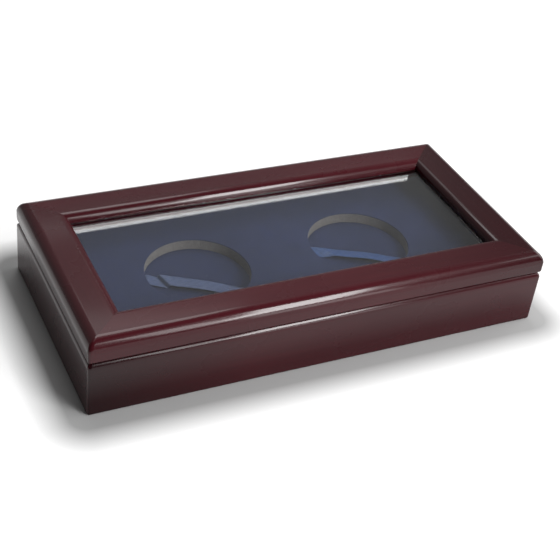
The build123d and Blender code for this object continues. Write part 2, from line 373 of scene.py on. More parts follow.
@dataclass(frozen=True)
class Wood(Finish):
    """Wood whose grain is turned along the piece and starts at a place of its own."""

    grain: Grain
    place: tuple[float, float, float] = (0.0, 0.0, 0.0)

    def pattern(self, g: Graph) -> Socket:
        """The piece's own coordinates, turned and moved."""
        moved = {"Location": self.place, "Rotation": (0, 0, self.grain.value)}
        return g.add("ShaderNodeMapping", {"Vector": super().pattern(g), **moved}).outputs[0]


@dataclass(frozen=True)
class CherryLacquer(Wood):
    """Dark cherry stain under a satin lacquer that is rubbed out smooth.

    Streaks, pores, the painted shade that darkens one end of a board, and the joint lines are each
    given as the share of their mask that shows and the gain on the dark stain there.
    """

    tone: float = 1.0
    stain: Colour = (0.072, 0.0078, 0.0125)
    dark: Colour = (0.050, 0.0055, 0.0092)
    roughness: float = 0.26
    smudged: float = 0.03
    gloss: float = 0.10
    coat: float = 0.46
    coat_dulled: float = 0.02
    coat_roughness: float = 0.09
    # painted shade: the x range over which the stain darkens towards one end; by default it lies
    # off every board
    painted_shade_span: Range = (-1.0, -0.9)
    streaks: Range = (0.35, 0.8)
    pores: Range = (0.3, 0.6)
    # painted shade: the share and the gain on the dark stain where that end darkens
    painted_shade: Range = (0.75, 0.1)
    joints: Range = (0.4, 0.4)
    streak_relief: float = 0.5
    joint_relief: float = 6.0
    relief: float = 0.002 * MM

    def sockets(self, g: Graph, vector: Socket) -> dict[str, Any]:
        """The stained colour, the lacquer's gloss and the faint relief of the grain.

        Args:
            g: the material's graph.
            vector: where the pattern is read.

        Returns:
            The Principled shader's inputs, by name.
        """
        grain = g.effect("wood_grain", vector)
        smudge = g.effect("handling", vector)["Smudge"]
        plain = super(Wood, self).pattern(g)
        mitre = g.effect("mitre", plain)["Line"]
        # painted shade: the stain darkens along x towards one end, standing in for light that falls
        # off there
        painted_shade = g.remap(g.split(plain)[0], *self.painted_shade_span, 1.0, 0.0)
        colour = g.mix(grain["Figure"], rgba(self.dark, self.tone), rgba(self.stain, self.tone))
        for mask, (share, gain), tone in ((grain["Streak"], self.streaks, self.tone),
                                          (grain["Pore"], self.pores, 1.0),
                                          (painted_shade, self.painted_shade, 1.0), (mitre, self.joints, 1.0)):
            colour = g.cover(colour, rgba(self.dark, gain * tone), mask, share)
        streaks = g.math("MULTIPLY", grain["Streak"], self.streak_relief)
        height = g.math("SUBTRACT", streaks, grain["Pore"])
        height = g.math("SUBTRACT", height, g.math("MULTIPLY", mitre, self.joint_relief))
        return {"Base Color": colour,
                "Roughness": g.math("MULTIPLY_ADD", smudge, self.smudged, self.roughness),
                "Coat Weight": g.math("MULTIPLY_ADD", smudge, -self.coat_dulled, self.coat),
                "Coat Roughness": self.coat_roughness, "Specular IOR Level": self.gloss,
                "Normal": g.bump(height, self.relief)}


@dataclass(frozen=True)
class PlainWood(Wood):
    """Unlacquered wood: the glazing beads under dark stain, and the bare bottom panel."""

    light: Colour = (0.040, 0.011, 0.010)
    dark: Colour = (0.020, 0.007, 0.007)
    roughness: float = 0.5
    streaks: float = 700.0
    pores: Range = (0.7, 0.5)
    figured: float = 0.12
    relief: float = 0.04 * MM

    def sockets(self, g: Graph, vector: Socket) -> dict[str, Any]:
        """The streaked and pored colour, its roughness and its relief.

        Args:
            g: the material's graph.
            vector: where the pattern is read.

        Returns:
            The Principled shader's inputs, by name.
        """
        grain = g.effect("wood_grain", vector, Streaks=self.streaks)
        share, gain = self.pores
        colour = g.mix(grain["Streak"], rgba(self.light), rgba(self.dark))
        return {"Base Color": g.cover(colour, rgba(self.dark, gain), grain["Pore"], share),
                "Roughness": g.math("MULTIPLY_ADD", grain["Figure"], self.figured, self.roughness),
                "Normal": g.bump(g.math("SUBTRACT", grain["Streak"], grain["Pore"]), self.relief)}


@dataclass(frozen=True)
class ClearGlass(Finish):
    """Float glass with a faint green body and a few dust specks."""

    name: str = "clear_glass"
    tint: Colour = (0.985, 0.995, 0.99)
    index: float = 1.5
    dust: float = 0.3
    passed: float = 0.94

    def sockets(self, g: Graph, vector: Socket) -> dict[str, Any]:
        """Clear but for the specks.

        Args:
            g: the material's graph.
            vector: where the pattern is read.

        Returns:
            The Principled shader's inputs, by name.
        """
        specks = g.math("MULTIPLY", g.effect("handling", vector)["Speck"], self.dust)
        return {"Roughness": specks, "Base Color": rgba(self.tint), "Transmission Weight": 1.0,
                "IOR": self.index}

    def surface(self, g: Graph, shader: Socket) -> Socket:
        """The glass, which lets light through to what lies below.

        Args:
            g: the material's graph.
            shader: the Principled shader.

        Returns:
            The glass, or a clear film for shadow and diffuse rays.
        """
        film = {"Color": rgba(self.tint, self.passed)}
        clear = g.add("ShaderNodeBsdfTransparent", film).outputs[0]
        rays = g.add("ShaderNodeLightPath").outputs
        through = g.math("MAXIMUM", rays["Is Shadow Ray"], rays["Is Diffuse Ray"])
        return g.add("ShaderNodeMixShader", {0: through, 1: shader, 2: clear}).outputs[0]


@dataclass(frozen=True)
class Pile(Finish):
    """Velvet or felt: matted fibre with a soft sheen at a slant."""

    colour: Colour
    shade: Colour
    sheen: float
    sheen_tint: Colour
    sheen_roughness: float = 0.4
    fibres: float = 3600.0
    between: Range = (0.45, 0.55)
    depth: float = 0.05 * MM

    def sockets(self, g: Graph, vector: Socket) -> dict[str, Any]:
        """The shaded nap, darker between its fibres, with its sheen.

        Args:
            g: the material's graph.
            vector: where the pattern is read.

        Returns:
            The Principled shader's inputs, by name.
        """
        nap = g.effect("nap", vector, Fibres=self.fibres)
        share, gain = self.between
        body = g.mix(nap["Shade"], rgba(self.shade), rgba(self.colour))
        return {"Base Color": g.cover(body, rgba(self.shade, gain), nap["Fibre"], share),
                "Normal": g.bump(nap["Fibre"], self.depth), "Roughness": 0.95,
                "Specular IOR Level": 0.12, "Sheen Weight": self.sheen,
                "Sheen Roughness": self.sheen_roughness, "Sheen Tint": rgba(self.sheen_tint)}


@dataclass(frozen=True)
class CutFoam(Finish):
    """Open-cell foam where the blade went through it."""

    name: str = "grey_foam"
    light: Colour = (0.205, 0.190, 0.185)
    dark: Colour = (0.082, 0.076, 0.074)
    cell_scale: float = 2400.0
    opening: Range = (0.15, 0.6)
    shaded: float = 0.3
    fuzz: float = 0.6
    depth: float = 0.12 * MM

    def sockets(self, g: Graph, vector: Socket) -> dict[str, Any]:
        """Pale walls round dark open cells, roughened by fine fuzz.

        Args:
            g: the material's graph.
            vector: where the pattern is read.

        Returns:
            The Principled shader's inputs, by name.
        """
        open_cell = g.remap(g.cells(vector, self.cell_scale), *self.opening)
        nap = g.effect("nap", vector, Fibres=1500.0, Lay=110.0)
        colour = g.mix(open_cell, rgba(self.dark), rgba(self.light))
        height = g.math("ADD", open_cell, g.math("MULTIPLY", nap["Fibre"], self.fuzz))
        return {"Base Color": g.cover(colour, rgba(self.dark), nap["Shade"], self.shaded),
                "Normal": g.bump(height, self.depth), "Roughness": 0.92, "Specular IOR Level": 0.15}


@dataclass(frozen=True)
class Satin(Finish):
    """Blue satin ribbon; its pattern follows the ribbon's own map, in metres along and across."""

    colour: Colour
    shade: Colour
    # painted shade: the share and the gain of the crinkle patches darkened in the colour
    painted_crinkle_shade: Range = (0.5, 1.6)
    tied: float = 0.35
    rumpled: float = 2.0
    depth: float = 0.03 * MM
    sheen_tint: Colour = (0.5, 0.7, 1.0)

    def pattern(self, g: Graph) -> Socket:
        """The ribbon's own map."""
        return g.add("ShaderNodeUVMap", uv_map=RIBBON_MAP).outputs[0]

    def sockets(self, g: Graph, vector: Socket) -> dict[str, Any]:
        """The woven colour with its anisotropic gloss.

        Args:
            g: the material's graph.
            vector: where the pattern is read.

        Returns:
            The Principled shader's inputs, by name.
        """
        weave = g.effect("weave", vector)
        shade = g.effect("nap", vector, Fibres=900.0, Lay=190.0)["Shade"]
        share, gain = self.painted_crinkle_shade
        # painted shade: the crinkle mask that raises the relief also darkens the colour
        colour = g.cover(rgba(self.colour), rgba(self.shade, gain), shade, share)
        height = g.math("ADD", weave["Thread"], g.math("MULTIPLY", shade, self.rumpled))
        return {"Base Color": g.cover(colour, rgba(self.shade), weave["Tie"], self.tied),
                "Normal": g.bump(height, self.depth), "Roughness": 0.42, "Anisotropic": 0.5,
                "Specular IOR Level": 0.28, "Sheen Weight": 0.1, "Sheen Roughness": 0.3,
                "Sheen Tint": rgba(self.sheen_tint)}


@dataclass(frozen=True)
class Metal(Finish):
    """Brushed brass, plated magnets and bright wire."""

    colour: Colour
    dull: Colour
    roughness: float = 0.28
    tarnished: float = 0.5
    scratched: float = 0.16
    depth: float = 0.004 * MM

    def sockets(self, g: Graph, vector: Socket) -> dict[str, Any]:
        """Scratched metal that has dulled in places.

        Args:
            g: the material's graph.
            vector: where the pattern is read.

        Returns:
            The Principled shader's inputs, by name.
        """
        brushed = g.effect("brushing", vector)
        colours = rgba(self.colour), rgba(self.dull)
        rough = g.math("MULTIPLY_ADD", brushed["Scratch"], self.scratched, self.roughness)
        return {"Base Color": g.cover(*colours, brushed["Tarnish"], self.tarnished),
                "Roughness": rough, "Normal": g.bump(brushed["Scratch"], self.depth),
                "Metallic": 1.0}


# ---- mesh helpers ----------------------------------------------------------------------------
def add_object(name: str, data: Any) -> Object:
    """Puts a new object with the given data in the scene.

    Args:
        name: the object's name.
        data: its mesh, lamp or camera.

    Returns:
        The new object, at the origin.
    """
    made = bpy.data.objects.new(name, data)
    bpy.context.scene.collection.objects.link(made)
    return made


def piece_of(name: str, body: Body, material: Material,
             smooth: bool = True) -> Object:
    """Turns a body's faces outwards and makes it an object.

    Args:
        name: the piece's name.
        body: its shape, which is freed.
        material: its finish.
        smooth: whether all of it is shaded smooth, or each face as the body says.

    Returns:
        The new object, at the origin.
    """
    bmesh.ops.recalc_face_normals(body, faces=body.faces)
    mesh = bpy.data.meshes.new(name)
    body.to_mesh(mesh)
    body.free()
    mesh.materials.append(material)
    if smooth:
        mesh.shade_smooth()
    return add_object(name, mesh)


def surface_of(verts: Iterable[Sequence[float]], faces: Iterable[Sequence[int]]) -> Body:
    """A body from points and the corner numbers of its faces.

    Args:
        verts: points in the case's frame.
        faces: corner numbers of each face.

    Returns:
        The body.
    """
    body = bmesh.new()
    made = [body.verts.new(point) for point in verts]
    for face in faces:
        body.faces.new([made[i] for i in face])
    return body


def wobble(point: Vector, pitch: float, seed: float = 0.0) -> float:
    """Smooth noise from -1 to 1 that changes over about one pitch."""
    return noise.noise(point / pitch + Vector((seed, 0.37 * seed, -seed)))


def smooth_step(value: float, low: float, high: float) -> float:
    """A smooth step from 0 at low to 1 at high."""
    share = min(1.0, max(0.0, (value - low) / (high - low)))
    return share * share * (3 - 2 * share)


def settle(piece: Object, body: str, node: str) -> Object:
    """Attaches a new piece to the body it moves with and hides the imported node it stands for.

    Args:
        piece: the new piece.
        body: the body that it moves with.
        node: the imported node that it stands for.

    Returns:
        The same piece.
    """
    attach(piece, body)
    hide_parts(node)
    return piece


# ---- layered insert --------------------------------------------------------------------------
@dataclass
class Layer:
    """One flat layer of the insert, pierced or not, with eased edges and slightly uneven walls."""

    half_x: float
    half_y: float
    low: float
    high: float
    holes: tuple[Vector, ...]
    ease: float
    ease_steps: int = 4
    hole_points: int = 160
    wall_rows: int = 8
    unevenness: float = 0.0
    fine_pitch: float = 1.1 * MM
    slow_pitch: float = 9.0 * MM
    side_points: int = 60

    def outline(self, inset: float, z: float) -> list[Vector]:
        """The outer rectangle as evenly spaced points.

        Args:
            inset: how far it is drawn in.
            z: its height.

        Returns:
            The points of the ring.
        """
        x, y = self.half_x - inset, self.half_y - inset
        corners = [Vector((-x, -y, z)), Vector((x, -y, z)), Vector((x, y, z)), Vector((-x, y, z))]
        short = max(2, round(self.side_points * self.half_y / self.half_x))
        points: list[Vector] = []
        for i, corner in enumerate(corners):
            count = self.side_points if i % 2 == 0 else short
            points += [corner.lerp(corners[(i + 1) % 4], j / count) for j in range(count)]
        return points

    def circle(self, centre: Vector, grow: float, z: float) -> list[Vector]:
        """A hole's edge, roughened by the cut.

        Args:
            centre: the hole's centre.
            grow: how far outside the hole's radius, on the eased edge.
            z: its height.

        Returns:
            The points of the ring.
        """
        rough = self.unevenness * (1.0 - grow / self.ease)
        points = []
        for i in range(self.hole_points):
            angle = 2 * math.pi * i / self.hole_points
            ray = Vector((math.cos(angle), math.sin(angle), 0))
            at = centre + ray * RECESS_RADIUS
            cut = rough * (wobble(Vector((at.x, at.y, z)), self.fine_pitch)
                           + wobble(Vector((at.x, at.y, 0)), self.slow_pitch))
            points.append(centre + ray * (RECESS_RADIUS + grow + abs(cut)) + Vector((0, 0, z)))
        return points

    def profile(self, rows: int) -> list[tuple[float, float]]:
        """The wall and the rounded edge above it.

        Args:
            rows: how many rows the wall has.

        Returns:
            Each ring's distance in from the wall and its height.
        """
        top = self.high - self.ease
        rings = [(0.0, self.low + (top - self.low) * row / rows) for row in range(rows)]
        for i in range(self.ease_steps + 1):
            angle = math.pi / 2 * i / self.ease_steps
            inward, down = (self.ease * (1 - turn(angle)) for turn in (math.cos, math.sin))
            rings.append((inward, self.high - down))
        return rings

    def piece(self, name: str, material: Material) -> Object:
        """Builds the layer as one closed mesh.

        Args:
            name: the piece's name.
            material: its finish.

        Returns:
            The new object.
        """
        body = bmesh.new()
        tops, bottoms = [], []
        for hole in (None, *self.holes):
            rings = []
            for inward, z in self.profile(1 if hole is None else self.wall_rows):
                points = self.outline(inward, z) if hole is None else self.circle(hole, inward, z)
                rings.append([body.verts.new(point) for point in points])
            for lower, upper in zip(rings, rings[1:]):
                for i, vert in enumerate(lower):
                    j = (i + 1) % len(lower)
                    body.faces.new((vert, lower[j], upper[j], upper[i]))
            tops.append(rings[-1])
            bottoms.append(rings[0])
        for loops in (tops, bottoms):
            edges = [body.edges.get((ring[i - 1], vert))
                     for ring in loops for i, vert in enumerate(ring)]
            bmesh.ops.triangle_fill(body, use_beauty=True, edges=edges)
        return piece_of(name, body, material)


@dataclass
class Ribbon:
    """A satin lift ribbon, tucked under the foam at both ends, that bulges up beside the left wall.

    Along is measured from the recess's centre to the right, and across from the ribbon's centre
    line to the back.
    """

    centre: Vector
    floor: float
    tilt: float
    crown: float
    crumple: float
    seed: float
    width: float = 6.5 * MM
    thickness: float = 0.22 * MM
    clearance: float = 0.01 * MM
    angle: float = math.radians(-28.0)
    ahead: float = 5.2 * MM
    tuck: float = 7.6 * MM
    crease: float = -13.7 * MM
    crease_slant: float = 0.84
    fold: float = 0.8 * MM
    fall: float = 34.0 * MM
    left_crown: float = 0.55
    left_rise: float = 1.2 * MM
    end_rise: float = 2.5 * MM
    lift_rise: float = 5.0 * MM
    wave: float = 0.7 * MM
    wave_place: float = 5.0 * MM
    wave_length: float = 9.0 * MM
    rumple_pitch: float = 2.6 * MM
    fine_pitch: float = 0.9 * MM
    fine_share: float = 0.35
    raised: float = 0.8
    rows: int = 20
    step: float = 0.3 * MM

    def half_chord(self, across: float) -> float:
        """Half of the chord that one line of the ribbon leaves in its recess."""
        return math.sqrt(RECESS_RADIUS ** 2 - (self.ahead - across) ** 2)

    def height(self, along: float, across: float) -> float:
        """The height of the ribbon's underside above the recess floor.

        Args:
            along: place along the ribbon.
            across: place across it.

        Returns:
            The height: the bulge beside the crease, the wave right of it and the fine crumpling.
        """
        half = self.half_chord(across)
        if abs(along) >= half:
            return 0.0
        crease = self.crease - self.crease_slant * across
        free = smooth_step(half - abs(along), 0.0, self.end_rise)
        right = smooth_step(along, crease - self.fold / 2, crease + self.fold / 2)
        falling = 1 - smooth_step(along, crease, crease + self.fall)
        sinking = 1 - smooth_step(along, -half, crease)
        bulge = self.crown * (right * falling + self.left_crown * sinking * (1 - right))
        bulge *= smooth_step(half + along, 0.0, self.left_rise)
        swell = self.wave * math.exp(-((along - self.wave_place) / self.wave_length) ** 2)
        lift = swell + self.tilt * (0.5 - across / self.width)
        lift *= smooth_step(along, crease, crease + self.lift_rise) * free
        sheared = Vector((along + 0.5 * across, 0.6 * across, 0))
        rumple = wobble(sheared, self.rumple_pitch, self.seed)
        fine = wobble(Vector((along, across, 0)), self.fine_pitch, self.seed + 4)
        crumpled = max(0.0, self.raised + rumple + self.fine_share * fine)
        return bulge + lift + self.crumple * free * crumpled

    def piece(self, name: str, material: Material) -> Object:
        """Builds the ribbon as a thin sheet with a woven map.

        Args:
            name: the piece's name.
            material: its finish.

        Returns:
            The new object.
        """
        turn = Matrix.Rotation(self.angle, 3, "Z")
        origin = self.centre + turn @ Vector((0, -self.ahead, 0)) + Vector((0, 0, self.floor))
        reach = self.half_chord(-self.width / 2) + self.tuck
        count = round(2 * reach / self.step)
        verts, faces, maps = [], [], []
        for i in range(count + 1):
            along = reach * (2 * i / count - 1)
            for j in range(self.rows + 1):
                across = self.width * (j / self.rows - 0.5)
                top = self.height(along, across) + self.thickness + self.clearance
                verts.append(origin + turn @ Vector((along, across, top)))
                maps.append((along + self.seed, across))
                if i < count and j < self.rows:
                    a = i * (self.rows + 1) + j
                    faces.append((a, a + self.rows + 1, a + self.rows + 2, a + 1))
        made = piece_of(name, surface_of(verts, faces), material)
        layer = made.data.uv_layers.new(name=RIBBON_MAP)
        for loop in made.data.loops:
            layer.data[loop.index].uv = maps[loop.vertex_index]
        solid = made.modifiers.new("thickness", "SOLIDIFY")
        solid.thickness, solid.offset = self.thickness, -1.0
        return made


@dataclass
class Insert:
    """Foam, velvet, recesses, ribbons and the felt below."""

    recess_x: float = 38.3 * MM
    velvet: Pile = Pile("navy_velvet", (0.017, 0.025, 0.078), (0.012, 0.019, 0.058), 0.18,
                        (0.35, 0.45, 0.8))
    felt: Pile = Pile("felt", (0.020, 0.020, 0.024), (0.012, 0.012, 0.015), 0.35, (0.5, 0.5, 0.6),
                      fibres=1900.0, depth=0.12 * MM)
    foam: CutFoam = CutFoam()
    satin: Satin = Satin("satin_ribbon", (0.024, 0.064, 0.19), (0.012, 0.032, 0.095))
    # the left ribbon's paler, greyer copy of the satin is painted sheen, for the light its satin
    # reflects
    pale_satin: Satin = Satin("satin_ribbon_painted_sheen", (0.046, 0.068, 0.150), (0.023, 0.036, 0.085))

    def build(self) -> list[Object]:
        """Builds and seats every soft piece, and hides the nodes that they stand for.

        Returns:
            The new objects.
        """
        centres = (Vector((-self.recess_x, 0, 0)), Vector((self.recess_x, 0, 0)))
        shared = (self.velvet, self.foam, self.felt)
        finishes = {finish.name: finish.material() for finish in shared}
        layers = (
            ("velvet_face", "insert_velvet", "navy_velvet", centres,
             dict(ease=0.36 * MM, unevenness=0.05 * MM, wall_rows=2)),
            ("pierced_foam", "insert_foam", "grey_foam", centres,
             dict(ease=0.1 * MM, unevenness=0.10 * MM, wall_rows=14, hole_points=288)),
            ("floor_velvet", "recess_floor_velvet", "navy_velvet", (), dict(ease=0.1 * MM)),
            ("foam_block", "lower_foam", "grey_foam", (), dict(ease=0.6 * MM)),
            ("felt_sheet", "underside_felt", "felt", (), dict(ease=0.2 * MM)))
        made = []
        for name, node, slot, holes, settings in layers:
            low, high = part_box(node)
            layer = Layer(high.x, high.y, low.z, high.z, holes, **settings)
            made.append(settle(layer.piece(name, finishes[slot]), "tray", node))
        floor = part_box("recess_floor_velvet")[1].z
        ribbons = (
            ("ribbon_left", self.pale_satin,
             dict(tilt=0.0, crown=1.5 * MM, crumple=0.16 * MM, seed=3.0)),
            ("ribbon_right", self.satin,
             dict(tilt=1.3 * MM, crown=0.3 * MM, crumple=0.08 * MM, seed=8.0, crease=-16.5 * MM)))
        for centre, (node, finish, laid) in zip(centres, ribbons):
            piece = Ribbon(centre, floor, **laid).piece(f"satin_{node}", finish.material())
            made.append(settle(piece, "tray", node))
        return made


# ---- small fasteners -------------------------------------------------------------------------
class Repeat:
    """A Geometry Nodes tree that sets a small body on each point of a mesh, along its axis."""

    AXIS = "axis"

    def __init__(self, name: str, sizes: dict[str, float]) -> None:
        """Starts the tree.

        Args:
            name: the tree's name.
            sizes: the named inputs and their values, in metres.
        """
        self.g = Graph(bpy.data.node_groups.new(name, "GeometryNodeTree"))
        self.g.face("Places", "Geometry")
        self.keys = {label: self.g.face(label).identifier for label in sizes}
        self.keys["Finish"] = self.g.face("Finish", "Material").identifier
        self.g.face("Bodies", "Geometry", "OUTPUT")
        self.sizes = sizes
        self.given = self.g.add("NodeGroupInput").outputs

    def shift(self, body: Socket, z: Socket) -> Socket:
        """The body moved down by z."""
        down = self.g.combine(z=self.g.math("MULTIPLY", z, -1.0))
        return self.g.add("GeometryNodeTransform", {0: body, "Translation": down}).outputs[0]

    def end_with(self, *parts: Socket) -> None:
        """Sets one body on every place and closes the tree.

        Args:
            parts: the parts of the body at the origin, whose outward axis is Z.
        """
        g = self.g
        joined = g.add("GeometryNodeJoinGeometry")
        for part in parts:
            g.feed(joined, {0: part})
        axis = g.add("GeometryNodeInputNamedAttribute", {"Name": self.AXIS},
                     data_type="FLOAT_VECTOR")
        turn = g.add("FunctionNodeAlignRotationToVector", {"Vector": axis.outputs[0]}, axis="Z")
        placed = g.add("GeometryNodeInstanceOnPoints", {
            "Points": self.given["Places"], "Instance": joined.outputs[0],
            "Rotation": turn.outputs[0]})
        real = g.add("GeometryNodeRealizeInstances", {"Geometry": placed.outputs[0]})
        dressed = g.add("GeometryNodeSetMaterial",
                        {"Geometry": real.outputs[0], "Material": self.given["Finish"]})
        g.add("NodeGroupOutput", {0: dressed.outputs[0]})

    def piece(self, name: str, places: Sequence[tuple[Vector, Vector]],
              material: Material) -> Object:
        """Makes the bodies a plain mesh.

        Args:
            name: the new piece's name.
            places: each body's point and its outward axis.
            material: the finish.

        Returns:
            The new object, at the origin, with no modifier.
        """
        points = bpy.data.meshes.new(f"{name}_places")
        points.from_pydata([tuple(point) for point, _ in places], [], [])
        axes = points.attributes.new(self.AXIS, "FLOAT_VECTOR", "POINT")
        for i, (_, axis) in enumerate(places):
            axes.data[i].vector = axis
        seed = add_object(f"{name}_places", points)
        nodes = seed.modifiers.new("bodies", "NODES")
        nodes.node_group = self.g.tree
        for label, value in self.sizes.items():
            nodes[self.keys[label]] = float(value)
        nodes[self.keys["Finish"]] = material
        depsgraph = bpy.context.evaluated_depsgraph_get()
        mesh = bpy.data.meshes.new_from_object(seed.evaluated_get(depsgraph))
        seed.modifiers.clear()
        bpy.data.objects.remove(seed)
        body = bmesh.new()
        body.from_mesh(mesh)
        bpy.data.meshes.remove(mesh)
        return piece_of(name, body, material, smooth=False)


def titled(sizes: Any, *names: str) -> dict[str, float]:
    """Some of a dataclass's sizes, with the names that a tree's inputs have."""
    return {name.replace("_", " ").title(): getattr(sizes, name) for name in names}


@dataclass
class HingeScrews:
    """The slotted countersunk wood screws that hold the hinge leaves."""

    hinge_x: float = 60.0 * MM
    pitch: float = 13.0 * MM
    line_y: float = 44.3 * MM
    head_radius: float = 1.1 * MM
    head_height: float = 0.6 * MM
    core_radius: float = 0.46 * MM
    thread_radius: float = 0.6 * MM
    length: float = 6.0 * MM
    tip: float = 1.2 * MM
    slot_width: float = 0.32 * MM
    slot_depth: float = 0.28 * MM
    thread_pitch: float = 0.55 * MM
    rim_height: float = 0.12
    face_share: float = 0.97
    point_share: float = 0.1
    slot_reach: float = 2.4
    thread_run: float = 0.85
    ridge_share: float = 0.9
    sides: int = 32
    ridge_sides: int = 4
    turn_steps: int = 20

    def tree(self) -> Repeat:
        """The tree that turns one screw, cuts its slot and winds its thread.

        Returns:
            The tree, with the head's face at z = 0.
        """
        repeat = Repeat("slotted_screws", titled(
            self, "head_radius", "head_height", "core_radius", "thread_radius", "length", "tip",
            "slot_width", "slot_depth", "thread_pitch"))
        g, given = repeat.g, repeat.given
        head, core, drop = given["Head Radius"], given["Core Radius"], given["Head Height"]
        straight = g.math("SUBTRACT", given["Length"], given["Tip"])
        heights = [0.0, g.math("MULTIPLY", drop, self.rim_height), drop, straight, given["Length"]]
        radii = [g.math("MULTIPLY", head, self.face_share), head, core, core,
                 g.math("MULTIPLY", core, self.point_share)]
        body = self._turned(g, [g.math("MULTIPLY", h, -1.0) for h in heights], radii)
        size = g.combine(g.math("MULTIPLY", head, self.slot_reach), given["Slot Width"],
                         g.math("MULTIPLY", given["Slot Depth"], 2.0))
        bar = g.add("GeometryNodeMeshCube", {"Size": size}).outputs[0]
        slotted = g.add("GeometryNodeMeshBoolean", {"Mesh 1": body, "Mesh 2": bar},
                        operation="DIFFERENCE", solver="EXACT").outputs[0]
        repeat.end_with(slotted, repeat.shift(self._thread(g, given, straight), straight))
        return repeat

    @staticmethod
    def _swept(g: Graph, curve: Socket, radius: Socket, sides: int) -> Socket:
        """A closed tube along a curve.

        Args:
            g: the tree to build in.
            curve: the middle line.
            radius: the tube's radius along it.
            sides: how many sides the tube has.

        Returns:
            The tube's mesh.
        """
        sized = g.add("GeometryNodeSetCurveRadius", {"Curve": curve, "Radius": radius}).outputs[0]
        round_line = {"Resolution": sides, "Radius": 1.0}
        ring = g.add("GeometryNodeCurvePrimitiveCircle", round_line).outputs[0]
        return g.add("GeometryNodeCurveToMesh", {
            "Curve": sized, "Profile Curve": ring, "Fill Caps": True, "Scale": radius}).outputs[0]

    def _turned(self, g: Graph, heights: list[Any], radii: list[Any]) -> Socket:
        """A closed body turned about Z.

        Args:
            g: the tree to build in.
            heights: the profile's heights.
            radii: its radii.

        Returns:
            The body's mesh.
        """
        line = g.add("GeometryNodeMeshLine", {"Count": len(heights)}, mode="OFFSET").outputs[0]
        index = g.add("GeometryNodeInputIndex").outputs[0]
        z, radius = (self._pick(g, index, values) for values in (heights, radii))
        raised = {"Geometry": line, "Position": g.combine(z=z)}
        moved = g.add("GeometryNodeSetPosition", raised).outputs[0]
        curve = g.add("GeometryNodeMeshToCurve", {"Mesh": moved}).outputs[0]
        return self._swept(g, curve, radius, self.sides)

    @staticmethod
    def _pick(g: Graph, index: Socket, values: list[Any]) -> Socket:
        """The value that belongs to a point's number.

        Args:
            g: the tree to build in.
            index: the point's number.
            values: one value or socket for each point.

        Returns:
            The picked value.
        """
        node = g.add("GeometryNodeIndexSwitch", data_type="FLOAT")
        while len(node.index_switch_items) < len(values):
            node.index_switch_items.new()
        return g.feed(node, dict(enumerate([index, *values]))).outputs[0]

    def _thread(self, g: Graph, given: Any, straight: Socket) -> Socket:
        """The raised thread round the shank.

        Args:
            g: the tree to build in.
            given: the tree's named inputs.
            straight: how far down the shank is straight.

        Returns:
            The thread's mesh, which starts at z = 0.
        """
        shank = g.math("SUBTRACT", straight, given["Head Height"])
        run = g.math("MULTIPLY", shank, self.thread_run)
        turns = g.math("DIVIDE", run, given["Thread Pitch"])
        ridge = g.math("MULTIPLY", g.math("SUBTRACT", given["Thread Radius"], given["Core Radius"]),
                       self.ridge_share)
        line = g.math("SUBTRACT", given["Thread Radius"], ridge)
        spiral = g.add("GeometryNodeCurveSpiral", {
            "Resolution": self.turn_steps, "Rotations": turns, "Start Radius": line,
            "End Radius": line, "Height": run}).outputs[0]
        return self._swept(g, spiral, ridge, self.ridge_sides)

    def build(self, material: Material) -> list[Object]:
        """Builds the tray's and the lid's screws and seats them in their leaves.

        Args:
            material: the finish.

        Returns:
            The two new objects.
        """
        tree, made = self.tree(), []
        xs = [side * self.hinge_x + end * self.pitch / 2 for side in (-1, 1) for end in (-1, 1)]
        for body, face, outward in (("tray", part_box("tray_hinge_screws")[1].z, 1),
                                    ("lid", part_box("lid_hinge_screws")[0].z, -1)):
            places = [(Vector((x, self.line_y, face)), Vector((0.0, 0.0, outward))) for x in xs]
            piece = tree.piece(f"{body}_leaf_screws", places, material)
            made.append(settle(piece, body, f"{body}_hinge_screws"))
        return made


